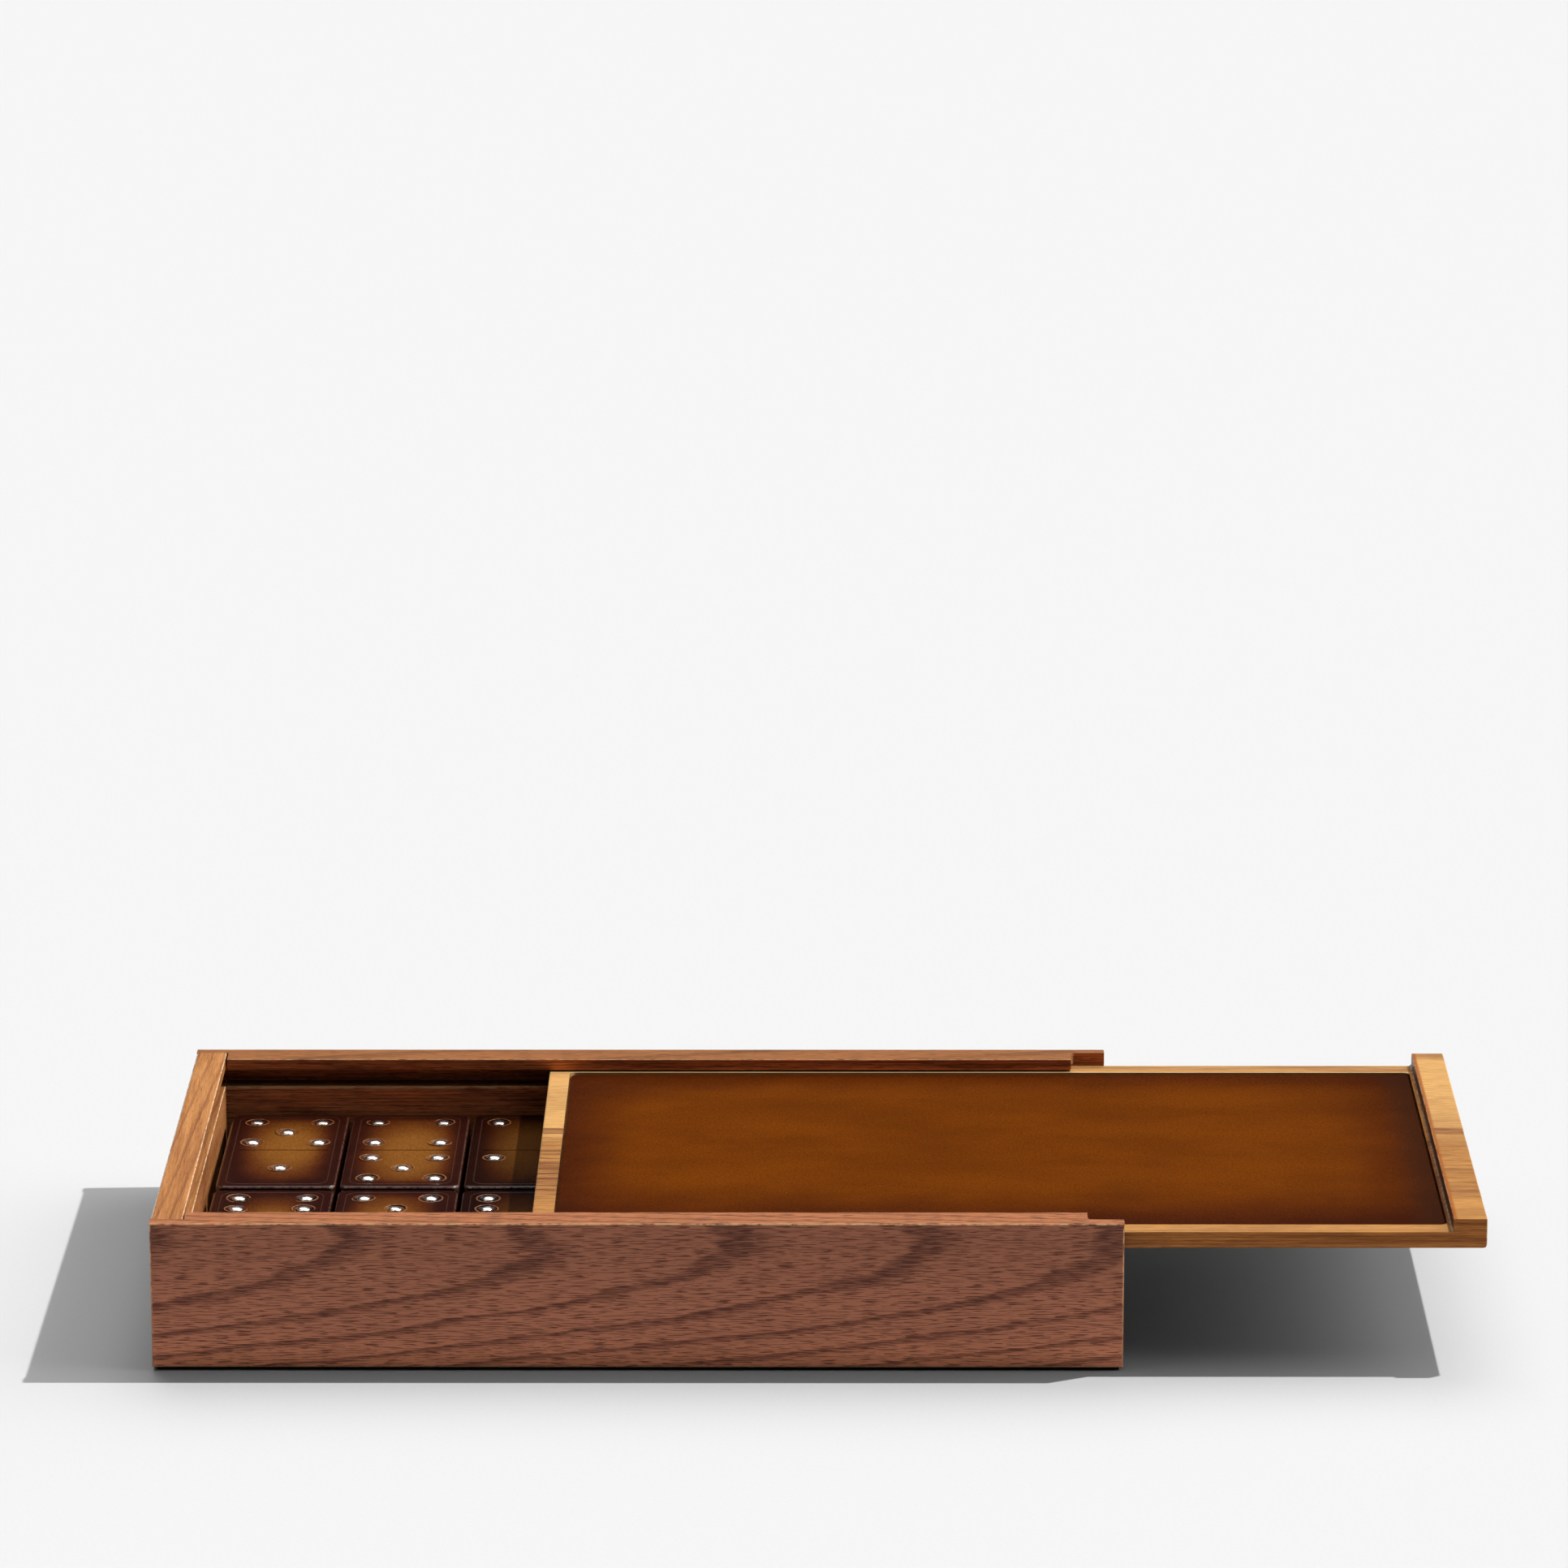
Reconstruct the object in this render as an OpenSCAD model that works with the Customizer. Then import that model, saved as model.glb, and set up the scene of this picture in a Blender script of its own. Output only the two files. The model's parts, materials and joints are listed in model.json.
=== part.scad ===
// A walnut storage box for a set of leather dominoes, with a lid that slides in grooves.
// Millimetres. The origin is the centre of the underside, +X is the way the lid pulls out,
// -Y is the long front face and +Z is up.

/* [Tiles] */
// Width of one domino, across its two rows of pips
tile_w = 25.2; // [20:0.2:32]
// Length of one domino
tile_l = 50; // [40:0.5:64]
// Thickness of one domino
tile_t = 7.8; // [6:0.1:12]
// Radius of a domino's four corners, seen from above
tile_corner_r = 2; // [1.2:0.1:4]
// Radius worn on the edges round a domino's faces
tile_edge_r = 0.7; // [0.3:0.1:1.1]
// Gap between neighbouring dominoes, and beside the last one of a row
tile_gap = 0.8; // [0.4:0.1:2]
// Gap between the closed end wall and the first domino of a row
row_start_gap = 1.6; // [0.4:0.1:4]
// Gap between the back row and the front row
row_gap = 2; // [0.6:0.1:5]
// Gap between a row and the wall at its outer end
tile_end_gap = 1.25; // [0.5:0.05:4]
// Length of the line cut across the middle of a domino
divider_l = 19; // [12:0.5:20]
// Width of that line
divider_w = 0.4; // [0.2:0.1:1]
// Depth of that line
divider_depth = 0.3; // [0.1:0.05:0.6]

/* [Pips] */
// Distance between neighbouring pips of one half
pip_pitch = 7; // [5:0.1:8]
// Distance of each half's centre from the middle of the domino
half_offset = 12.25; // [10:0.25:14]
// Radius of a metal pip
stud_r = 1.45; // [0.9:0.05:1.8]
// Height of a pip's domed head
stud_dome = 0.55; // [0.3:0.05:0.9]
// How far the foot of the dome lies below the leather
stud_sink = 0.12; // [0:0.02:0.3]
// Depth of the hole a pip is pressed into
stud_depth = 1.6; // [1:0.1:2.5]
// Clearance round a pip in its hole
stud_fit = 0.06; // [0.02:0.01:0.15]
// Radius of the dished ring round a pip
ring_r = 2.4; // [2:0.05:3]
// Depth of the dished ring
ring_depth = 0.3; // [0.1:0.05:0.5]
// Clearance over the pips of the low layer, which the top layer lies on
stack_gap = 0.07; // [0.02:0.01:0.3]

/* [Walls] */
// Thickness of the front and back walls
side_t = 7.5; // [6:0.25:12]
// Thickness of the closed end wall
end_t = 6.5; // [5:0.1:12]
// Thickness of the low end wall that the lid slides over
low_end_t = 5.9; // [4:0.1:9]
// Thickness left outside the lid groove in the front and back walls
strip_t = 2.9; // [2:0.1:4]
// Thickness left outside the lid groove in the closed end wall
end_strip_t = 3; // [2:0.1:4]
// Height of the lip over the lid groove
lip_h = 2.5; // [1.5:0.1:4]
// Height left free between the dominoes and the underside of the lid
headroom = 6; // [2:0.1:20]
// Gap between the end of each lip and the closed end wall
lip_end_gap = 0.4; // [0.1:0.1:1]
// Radius left by the cutter in the corner of each notch for the pull bar
notch_r = 1; // [0.5:0.1:1.2]
// Radius on the long outer edges of the walls
edge_r = 0.6; // [0.2:0.1:1.2]
// Radius on the upright outer corners
corner_r = 0.5; // [0.2:0.1:1.2]
// Radius on the edges along the groove and the inside of the rim
arris_r = 0.3; // [0.1:0.05:0.6]

/* [Base] */
// Thickness of the base panel
base_t = 2.4; // [1.5:0.1:5]
// How far the base panel reaches into the rebate in each wall
base_lap = 3; // [1.5:0.1:4]
// Gap round the edge of the base panel in its rebate
base_fit = 0.1; // [0.05:0.05:0.4]
// Thickness of the dark sheet glued under the box
sheet_t = 0.7; // [0.4:0.1:2]
// How far the edge of that sheet lies inside the box
sheet_inset = 0.8; // [0.3:0.1:4]

/* [Lid] */
// Thickness of the lid board
lid_t = 3.3; // [2.5:0.1:5]
// Clearance over the lid in its groove
lid_gap = 0.3; // [0.1:0.05:0.6]
// Clearance between the lid's edges and the bottom of the groove
lid_side_gap = 0.3; // [0.1:0.05:0.6]
// Width of the pull bar across the end of the lid
bar_w = 6.8; // [5:0.1:10]
// Gap between the pull bar and the ends of the lips with the lid shut
bar_gap = 0.5; // [0.2:0.1:1.5]
// Radius of the cove at the foot of the pull bar
cove_r = 0.6; // [0.2:0.1:0.7]
// Radius on the lower outer edge of the pull bar
bar_foot_r = 0.8; // [0.3:0.1:1.5]
// How far the lid is pulled out
lid_open = 73.1; // [0:0.1:150]

/* [Leather inlay] */
// Wooden border left at the inner end of the lid
inlay_end_border = 4.4; // [3:0.1:10]
// Wooden border left along the front and back edges of the lid
inlay_side_border = 4.9; // [4.7:0.1:10]
// Wooden border left at the foot of the pull bar
inlay_bar_border = 0.8; // [0.7:0.1:4]
// Thickness of the leather
inlay_t = 1.2; // [0.8:0.1:2]
// How far the leather lies below the lid's upper face
inlay_sink = 0.35; // [0:0.05:0.6]
// Gap round the leather in its recess
inlay_gap = 0.2; // [0.1:0.05:0.5]
// Radius of the recess's corners
inlay_corner_r = 1.5; // [0.6:0.1:4]

/* [Hidden] */
$fn = 48;
ARC_STEPS = 6;
// how far cutting shapes run past the faces they cut
OVER = 1;
// a domino's index counts along the row, then back and front, then top and low layer
PER_ROW = 7;
PER_LAYER = 2 * PER_ROW;
TILES = [0:2 * PER_LAYER - 1];

inner_l = row_start_gap + PER_ROW * (tile_w + tile_gap);
inner_d = 2 * tile_l + row_gap + 2 * tile_end_gap;
box_l = inner_l + end_t + low_end_t;
box_d = inner_d + 2 * side_t;

// places along X, from the closed end
x_left = -box_l / 2;
x_right = box_l / 2;
x_end_inside = x_left + end_t;
x_low_inside = x_right - low_end_t;
x_lips_end = x_right - bar_w - bar_gap;
y_front = -box_d / 2;
y_strip = y_front + strip_t;
y_inside = y_front + side_t;

// levels, from the table up
z_wood = sheet_t;
z_floor = z_wood + base_t;
z_top_layer = z_floor + tile_t + stud_dome - stud_sink + stack_gap;
z_ledge = z_top_layer + tile_t + headroom;
z_lid_top = z_ledge + lid_t;
z_lip = z_lid_top + lid_gap;
z_rim = z_lip + lip_h;

lid_l = box_l - end_strip_t - lid_side_gap;
lid_w = box_d - 2 * (strip_t + lid_side_gap);
x_lid = x_right - lid_l + lid_open;
x_riser = x_lid + lid_l - bar_w;

// the recess for the leather: its lower left corner, and its size
recess_x = x_lid + inlay_end_border;
recess_l = x_riser - inlay_bar_border - recess_x;
recess_w = lid_w - 2 * inlay_side_border;

// pips on the halves of the dominoes that show, back half first, and on the rest of the set
SHOWN_BACK = [[5, 1], [4, 5], [2, 2]];
SHOWN_FRONT = [[6, 3], [5, 3], [6, 6]];
SHOWN = concat(SHOWN_BACK, SHOWN_FRONT);
REST = [for (a = [0:6]) for (b = [a:6]) if (!is_shown(a, b)) [a, b]];

// columns that are open to the hand beside the lid
FREE_COLUMNS = 2;
FREE_TILES = [for (k = TILES) if (column_of(k) < FREE_COLUMNS) k];
COVERED_TOP = [for (k = TILES) if (column_of(k) >= FREE_COLUMNS && layer_of(k) == 0) k];
COVERED_LOW = [for (k = TILES) if (column_of(k) >= FREE_COLUMNS && layer_of(k) == 1) k];

WALLS = ["front_wall", "back_wall", "closed_end_wall", "low_end_wall"];
REST_OF_BOX = ["base_panel", "base_sheet", "lid_board", "lid_leather"];

function is_shown(a, b) = len([for (s = SHOWN) if (s == [a, b] || s == [b, a]) s]) > 0;
function layer_of(k) = floor(k / PER_LAYER);
function row_of(k) = floor((k % PER_LAYER) / PER_ROW);
function column_of(k) = k % PER_ROW;
function place_name(k) = str(layer_of(k) == 0 ? "top" : "low", row_of(k) == 0 ? "_back_" : "_front_",
                             column_of(k) + 1);
function tile_name(k) = str("tile_", place_name(k));
function stud_name(k) = str("studs_", place_name(k));

// the two counts of pips of a domino, [back half, front half]
function hidden_rank(k) =
    layer_of(k) == 1 ? 2 * (PER_ROW - len(SHOWN_BACK)) + k - PER_LAYER
    : row_of(k) * (PER_ROW - len(SHOWN_BACK)) + column_of(k) - len(SHOWN_BACK);
function pip_counts(k) =
    layer_of(k) == 0 && column_of(k) < len(SHOWN_BACK)
    ? (row_of(k) == 0 ? SHOWN_BACK : SHOWN_FRONT)[column_of(k)]
    : REST[hidden_rank(k)];

// where a count of pips sits on its half, in steps of the pip pitch
function pip_steps(n) =
    concat(n % 2 == 1 ? [[0, 0]] : [],
           n >= 2 ? [[-1, 1], [1, -1]] : [],
           n >= 4 ? [[1, 1], [-1, -1]] : [],
           n == 6 ? [[-1, 0], [1, 0]] : []);
function pip_places(counts) =
    [for (half = [0, 1]) for (s = pip_steps(counts[half]))
        [s[0] * pip_pitch, s[1] * pip_pitch + (half == 0 ? half_offset : -half_offset)]];

// centre of a domino's underside
function tile_place(k) =
    [x_end_inside + row_start_gap + tile_w / 2 + column_of(k) * (tile_w + tile_gap),
     (row_of(k) == 0 ? 1 : -1) * (row_gap + tile_l) / 2,
     layer_of(k) == 0 ? z_top_layer : z_floor];

// points of a quarter circle from one angle on, turning left, or right where steps are negative
function arc(centre, r, from, turn = 90) =
    [for (i = [0:ARC_STEPS]) centre + r * [cos(from + turn * i / ARC_STEPS), sin(from + turn * i / ARC_STEPS)]];

// outline of a rectangle from the origin with rounded corners
function round_rect(l, w, r) =
    concat(arc([r, r], r, 180), arc([l - r, r], r, 270), arc([l - r, w - r], r, 0), arc([r, w - r], r, 90));

// a prism along X whose section is drawn in Y and Z
module along_x(x, length) {
    translate([x, 0, 0]) rotate([90, 0, 90]) linear_extrude(length) children();
}

// a prism along Y whose section is drawn in X and Z
module along_y(y, length) {
    translate([0, y + length, 0]) rotate([90, 0, 0]) linear_extrude(length) children();
}

// section of the front wall: lid groove, lip, and worn edges
module side_section() {
    polygon(concat(
        arc([y_front + edge_r, z_wood + edge_r], edge_r, 180),
        [[y_inside, z_wood]],
        arc([y_inside - arris_r, z_ledge - arris_r], arris_r, 0),
        [[y_strip, z_ledge], [y_strip, z_lip]],
        arc([y_inside - arris_r, z_lip + arris_r], arris_r, 270),
        arc([y_inside - arris_r, z_rim - arris_r], arris_r, 0),
        arc([y_front + edge_r, z_rim - edge_r], edge_r, 90)));
}

// section of the closed end wall, with its groove, drawn in X and Z
module end_section() {
    polygon(concat(
        arc([x_left + edge_r, z_wood + edge_r], edge_r, 180),
        [[x_end_inside, z_wood]],
        arc([x_end_inside - arris_r, z_ledge - arris_r], arris_r, 0),
        [[x_left + end_strip_t, z_ledge], [x_left + end_strip_t, z_lip]],
        arc([x_end_inside - arris_r, z_lip + arris_r], arris_r, 270),
        arc([x_end_inside - arris_r, z_rim - arris_r], arris_r, 0),
        arc([x_left + edge_r, z_rim - edge_r], edge_r, 90)));
}

// the whole box seen from above, with its upright corners worn round
module box_outline(height) {
    translate([x_left, y_front, z_wood])
        linear_extrude(height) polygon(round_rect(box_l, box_d, corner_r));
}

// the rebate for the base panel, cut from all four walls
module base_rebate() {
    translate([x_end_inside - base_lap - base_fit, y_inside - base_lap - base_fit, z_wood - OVER])
        cube([inner_l + 2 * (base_lap + base_fit), inner_d + 2 * (base_lap + base_fit), base_t + OVER]);
}

// what is taken off a lip so that the pull bar can lie between the strips
module bar_notch() {
    length = bar_w + bar_gap + OVER;
    depth = side_t - strip_t + OVER;
    translate([x_lips_end, y_strip, z_ledge])
        linear_extrude(z_rim - z_ledge + OVER)
            polygon(concat(arc([notch_r, notch_r], notch_r, 180), [[length, 0], [length, depth], [0, depth]]));
}

module front_wall() {
    color("#6f4129") difference() {
        intersection() {
            along_x(x_left, box_l) side_section();
            box_outline(z_rim - z_wood);
        }
        // rebate that the closed end wall stands in
        translate([x_left - OVER, y_strip, z_wood - OVER])
            cube([end_t + OVER, side_t, z_rim - z_wood + 2 * OVER]);
        // rebate that the low end wall stands in
        translate([x_low_inside, y_strip, z_wood - OVER]) cube([low_end_t + OVER, side_t, z_ledge - z_wood + OVER]);
        // saw cut that ends the lip
        translate([x_end_inside - OVER, y_strip, z_lip - OVER])
            cube([lip_end_gap + OVER, side_t, lip_h + 2 * OVER]);
        bar_notch();
        base_rebate();
    }
}

module back_wall() {
    mirror([0, 1, 0]) front_wall();
}

module closed_end_wall() {
    color("#b5803f") difference() {
        along_y(y_strip, box_d - 2 * strip_t) end_section();
        base_rebate();
    }
}

module low_end_wall() {
    color("#9a6636") difference() {
        along_y(y_strip, box_d - 2 * strip_t)
            polygon(concat(
                [[x_low_inside, z_wood]],
                arc([x_right - edge_r, z_wood + edge_r], edge_r, 270),
                arc([x_right - arris_r, z_ledge - arris_r], arris_r, 0),
                arc([x_low_inside + arris_r, z_ledge - arris_r], arris_r, 90)));
        base_rebate();
    }
}

module base_panel() {
    color("#8a5a30")
        translate([x_end_inside - base_lap, y_inside - base_lap, z_wood])
            cube([inner_l + 2 * base_lap, inner_d + 2 * base_lap, base_t]);
}

module base_sheet() {
    color("#1c1714")
        translate([x_left + sheet_inset, y_front + sheet_inset, 0])
            linear_extrude(sheet_t)
                polygon(round_rect(box_l - 2 * sheet_inset, box_d - 2 * sheet_inset, corner_r));
}

// board and pull bar are one piece of wood
module lid_board() {
    x_end = x_lid + lid_l;
    color("#c08a4a") difference() {
        intersection() {
            along_y(-lid_w / 2, lid_w)
                polygon(concat(
                    arc([x_lid + arris_r, z_ledge + arris_r], arris_r, 180),
                    arc([x_end - bar_foot_r, z_ledge + bar_foot_r], bar_foot_r, 270),
                    arc([x_end - arris_r, z_rim - arris_r], arris_r, 0),
                    arc([x_riser + arris_r, z_rim - arris_r], arris_r, 90),
                    arc([x_riser - cove_r, z_lid_top + cove_r], cove_r, 0, -90),
                    arc([x_lid + arris_r, z_lid_top - arris_r], arris_r, 90)));
            translate([x_lid, -lid_w / 2, z_ledge])
                linear_extrude(z_rim - z_ledge) polygon(round_rect(lid_l, lid_w, arris_r));
        }
        translate([recess_x, -recess_w / 2, z_lid_top - inlay_sink - inlay_t])
            linear_extrude(lid_t) polygon(round_rect(recess_l, recess_w, inlay_corner_r));
    }
}

module lid_leather() {
    color("#5a2c10")
        translate([recess_x + inlay_gap, -recess_w / 2 + inlay_gap, z_lid_top - inlay_sink - inlay_t])
            linear_extrude(inlay_t)
                polygon(round_rect(recess_l - 2 * inlay_gap, recess_w - 2 * inlay_gap, inlay_corner_r - inlay_gap));
}

// section of a domino of the given width, standing on the origin, with worn edges
module tile_section(width) {
    translate([-width / 2, 0]) polygon(round_rect(width, tile_t, tile_edge_r));
}

// a domino's block: round corners joined by straight sides that share its worn edges
module tile_block() {
    straight_w = tile_w - 2 * tile_corner_r;
    straight_l = tile_l - 2 * tile_corner_r;
    along_x(-straight_w / 2, straight_w) tile_section(tile_l);
    along_y(-straight_l / 2, straight_l) tile_section(tile_w);
    for (sx = [-1, 1]) for (sy = [-1, 1])
        translate([sx * straight_w / 2, sy * straight_l / 2, 0])
            rotate_extrude()
                intersection() {
                    tile_section(2 * tile_corner_r);
                    square([tile_corner_r, tile_t]);
                }
}

// hole for one pip with the dished ring round it, cut down from the face at z = 0
module pip_hole() {
    hole_r = stud_r + stud_fit;
    translate([0, 0, -stud_depth]) cylinder(r = hole_r, h = stud_depth + OVER);
    slope = (ring_r - hole_r) / ring_depth;
    translate([0, 0, -ring_depth])
        cylinder(r1 = hole_r, r2 = ring_r + slope * OVER, h = ring_depth + OVER);
}

module tile(k) {
    color("#6b3d14") translate(tile_place(k)) difference() {
        tile_block();
        translate([0, 0, tile_t]) {
            for (p = pip_places(pip_counts(k))) translate(p) pip_hole();
            translate([-divider_l / 2, -divider_w / 2, -divider_depth])
                cube([divider_l, divider_w, divider_depth + OVER]);
        }
    }
}

// one metal pip: a short pin with a domed head, its foot on the floor of its hole
module stud() {
    dome_r = (stud_r * stud_r + stud_dome * stud_dome) / (2 * stud_dome);
    intersection() {
        translate([0, 0, -stud_depth]) cylinder(r = stud_r, h = stud_depth + stud_dome);
        union() {
            translate([0, 0, -stud_depth])
                cylinder(r = stud_r + OVER, h = stud_depth - stud_sink);
            translate([0, 0, stud_dome - stud_sink - dome_r]) sphere(r = dome_r);
        }
    }
}

module studs(k) {
    color("silver") translate(tile_place(k) + [0, 0, tile_t])
        for (p = pip_places(pip_counts(k))) translate(p) stud();
}

front_wall();
back_wall();
closed_end_wall();
low_end_wall();
base_panel();
base_sheet();
lid_board();
lid_leather();
for (k = TILES) tile(k);
for (k = FREE_TILES) studs(k);
for (k = COVERED_TOP) studs(k);  // studs_under_lid
for (k = COVERED_LOW) studs(k);  // studs_low_layer
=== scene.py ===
import json
import math

import bmesh
import bpy
from mathutils import Matrix, Vector


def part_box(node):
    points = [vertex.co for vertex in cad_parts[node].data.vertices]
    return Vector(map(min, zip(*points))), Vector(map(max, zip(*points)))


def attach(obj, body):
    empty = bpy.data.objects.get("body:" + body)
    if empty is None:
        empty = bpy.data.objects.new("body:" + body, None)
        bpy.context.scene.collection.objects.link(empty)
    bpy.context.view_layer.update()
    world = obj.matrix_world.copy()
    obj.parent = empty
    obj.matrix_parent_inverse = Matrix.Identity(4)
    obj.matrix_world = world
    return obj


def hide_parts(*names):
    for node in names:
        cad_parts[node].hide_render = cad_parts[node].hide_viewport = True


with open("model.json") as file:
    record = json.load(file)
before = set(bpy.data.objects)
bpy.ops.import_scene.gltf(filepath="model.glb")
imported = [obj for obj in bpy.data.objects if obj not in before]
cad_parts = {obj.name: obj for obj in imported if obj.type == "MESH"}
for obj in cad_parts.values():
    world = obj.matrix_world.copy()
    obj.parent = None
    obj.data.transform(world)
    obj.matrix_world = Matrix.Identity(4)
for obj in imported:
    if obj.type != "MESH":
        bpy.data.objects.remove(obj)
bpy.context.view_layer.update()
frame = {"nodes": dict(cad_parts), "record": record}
scene = bpy.context.scene
scene.view_settings.view_transform = "Standard"


# The view. A long lens about a metre and a half away, a little right of the box's middle,
# looks down on it by fifteen degrees.
lens = bpy.data.cameras.new("long_lens")
lens.sensor_width = 36
lens.lens = 169.57
lens.clip_start, lens.clip_end = 0.05, 300
camera = bpy.data.objects.new("camera", lens)
camera.matrix_world = (
    Matrix.Translation((0.03924, -1.46890, 0.50054))
    @ Matrix.Rotation(math.radians(0.385), 4, "Z")
    @ Matrix.Rotation(math.radians(74.991), 4, "X")
    @ Matrix.Rotation(math.radians(-0.100), 4, "Z")
)
scene.collection.objects.link(camera)
scene.camera = camera


# The light. One small lamp on the right, a little behind, throws the crisp shadow, which leans less
# the nearer it lies to the lamp. Soft boxes behind, on the right and overhead fill it.
def node(tree, kind, inputs=None, **settings):
    """A new node. A socket given for an input is linked to it, anything else is its value."""
    made = tree.nodes.new(kind)
    for name, value in settings.items():
        setattr(made, name, value)
    for key, value in (inputs or {}).items():
        if isinstance(value, bpy.types.NodeSocket):
            tree.links.new(value, made.inputs[key])
        else:
            made.inputs[key].default_value = value
    return made


def calc(tree, operation, *values, clamp=False):
    """One step of arithmetic, on sockets or numbers."""
    given = {i: v for i, v in enumerate(values)}
    return node(tree, "ShaderNodeMath", given, operation=operation, use_clamp=clamp).outputs[0]


def fade(tree, value, start, end, low=0.0, high=1.0):
    """low up to start, high from end on, and a smooth step between them."""
    limits = {"Value": value, "From Min": start, "From Max": end, "To Min": low, "To Max": high}
    return node(tree, "ShaderNodeMapRange", limits, interpolation_type="SMOOTHSTEP").outputs["Result"]


lamp_place = Vector((0.391, 0.080, 0.630))
lamp_data = bpy.data.lights.new("key_lamp", "POINT")
lamp_data.energy = 27.0
lamp_data.shadow_soft_size = 0.006
lamp_data.use_nodes = True
bulb = lamp_data.node_tree
bulb.nodes.clear()
# the table is lit alike near and far, as by a big lamp: the light doesn't fall off along it
steady = node(bulb, "ShaderNodeLightFalloff", {"Strength": 1 / lamp_place.z}).outputs["Constant"]
steady = calc(bulb, "MULTIPLY", steady, node(bulb, "ShaderNodeLightPath").outputs["Ray Length"])
glow = node(bulb, "ShaderNodeEmission", {"Color": (1, 1, 1, 1), "Strength": steady})
node(bulb, "ShaderNodeOutputLight", {"Surface": glow.outputs[0]})
lamp = bpy.data.objects.new("key_lamp", lamp_data)
lamp.location = lamp_place
lamp.visible_camera = False
scene.collection.objects.link(lamp)

world = bpy.data.worlds.new("studio")
scene.world = world
world.use_nodes = True
sky = world.node_tree
sky.nodes.clear()
direction = node(sky, "ShaderNodeTexCoord").outputs["Generated"]
way = node(sky, "ShaderNodeSeparateXYZ", {0: direction}).outputs
height = way["Z"]


def facing_box(towards, edge, strength):
    """A round soft box: towards is the way to its middle, edge the cosine where it fades."""
    near = node(sky, "ShaderNodeVectorMath", {0: direction, 1: Vector(towards).normalized()}, operation="DOT_PRODUCT")
    return fade(sky, near.outputs["Value"], edge - 0.03, edge + 0.03, 0, strength)


behind = calc(sky, "ADD", facing_box((0.0, 0.574, 0.819), 0.93, 3.0), 0.02)
on_right = calc(sky, "MULTIPLY", facing_box((0.85, 0.30, 0.43), 0.83, 1.65), fade(sky, height, 0.1, 0.25))
over = calc(sky, "MULTIPLY", fade(sky, calc(sky, "ABSOLUTE", way["Y"]), 0.30, 0.40, 0.25, 0), fade(sky, height, 0.35, 0.5))
boxes = calc(sky, "ADD", calc(sky, "ADD", behind, on_right), over)
ray = node(sky, "ShaderNodeLightPath").outputs
# a narrow strip overhead, so thin that only polished arrises show it
strip = calc(sky, "ABSOLUTE", calc(sky, "ADD", way["Y"], 0.32))
strip = calc(sky, "MULTIPLY", fade(sky, strip, 0.05, 0.11, 3.0, 0), fade(sky, height, 0.5, 0.7))
boxes = calc(sky, "MULTIPLY_ADD", strip, ray["Is Glossy Ray"], boxes)
seen = calc(sky, "ADD", ray["Is Camera Ray"], ray["Is Glossy Ray"])
seen = calc(sky, "ADD", seen, ray["Is Transmission Ray"], clamp=True)
pale = calc(sky, "MULTIPLY", seen, fade(sky, height, 0.03, 0.05, 1, 0))
strength = node(sky, "ShaderNodeMix", {0: pale, 2: boxes, 3: 0.93}).outputs[0]
background = node(sky, "ShaderNodeBackground", {"Color": (1, 1, 1, 1), "Strength": strength})
node(sky, "ShaderNodeOutputWorld", {"Surface": background.outputs[0]})


# The table. A pale plain board, far larger than the view, with the faint tooth of matt paper.
def finish(name):
    """A new material: its nodes, and its shader already joined to the output."""
    made = bpy.data.materials.new(name)
    made.use_nodes = True
    made.node_tree.nodes.clear()
    shader = node(made.node_tree, "ShaderNodeBsdfPrincipled")
    node(made.node_tree, "ShaderNodeOutputMaterial", {"Surface": shader.outputs[0]})
    return made, made.node_tree, shader


def feed(tree, shader, **sockets):
    """Links or sets the shader's sockets, named with _ for a space."""
    for name, value in sockets.items():
        socket = shader.inputs[name.replace("_", " ")]
        if isinstance(value, bpy.types.NodeSocket):
            tree.links.new(value, socket)
        else:
            socket.default_value = value


def in_millimetres(tree):
    """The piece's own coordinates, in millimetres."""
    place = node(tree, "ShaderNodeTexCoord").outputs["Object"]
    return node(tree, "ShaderNodeVectorMath", {0: place, 3: 1000}, operation="SCALE").outputs[0]


def mixed(tree, factor, first, second, mode="MIX"):
    """Two colours mixed."""
    sockets = {0: factor, 6: first, 7: second}
    return node(tree, "ShaderNodeMix", sockets, data_type="RGBA", blend_type=mode).outputs[2]


def noise(tree, place, scale, detail=2.0, rough=0.5, stretch=None):
    """Smooth noise from 0 to 1. stretch is the size of its grains in millimetres along each axis."""
    if stretch:
        shrink = Vector(1 / s for s in stretch)
        place = node(tree, "ShaderNodeVectorMath", {0: place, 1: shrink}, operation="MULTIPLY").outputs[0]
    return node(tree, "ShaderNodeTexNoise", {
        "Vector": place, "Scale": scale, "Detail": detail, "Roughness": rough}).outputs["Fac"]


paper, tree, shader = finish("matt_paper")
tooth = noise(tree, in_millimetres(tree), 1.2, 3)
feed(tree, shader, Roughness=0.95, Specular_IOR_Level=0.0,
     Base_Color=mixed(tree, tooth, (0.665, 0.665, 0.665, 1), (0.704, 0.704, 0.704, 1)))
bpy.ops.mesh.primitive_plane_add(size=160)
table = bpy.context.object
table.name = "table"
table.data.materials.append(paper)


# The sheet under the box. Thin black felt paper, glued on a little way in from the edges, so that
# from the front it shows as a dark line between the wood and the table. Its near-black colour also
# stands in for the painted contact shade under the wood.
def dress(material, *nodes):
    """Gives CAD nodes this material."""
    for name in nodes:
        slots = frame["nodes"][name].material_slots
        for s in slots:
            s.material = material


def bumped(tree, height, depth, strength=1.0):
    """A normal from a height map. depth is its full height in millimetres."""
    return node(tree, "ShaderNodeBump", {
        "Height": height, "Distance": depth / 1000, "Strength": strength}).outputs["Normal"]


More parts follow.
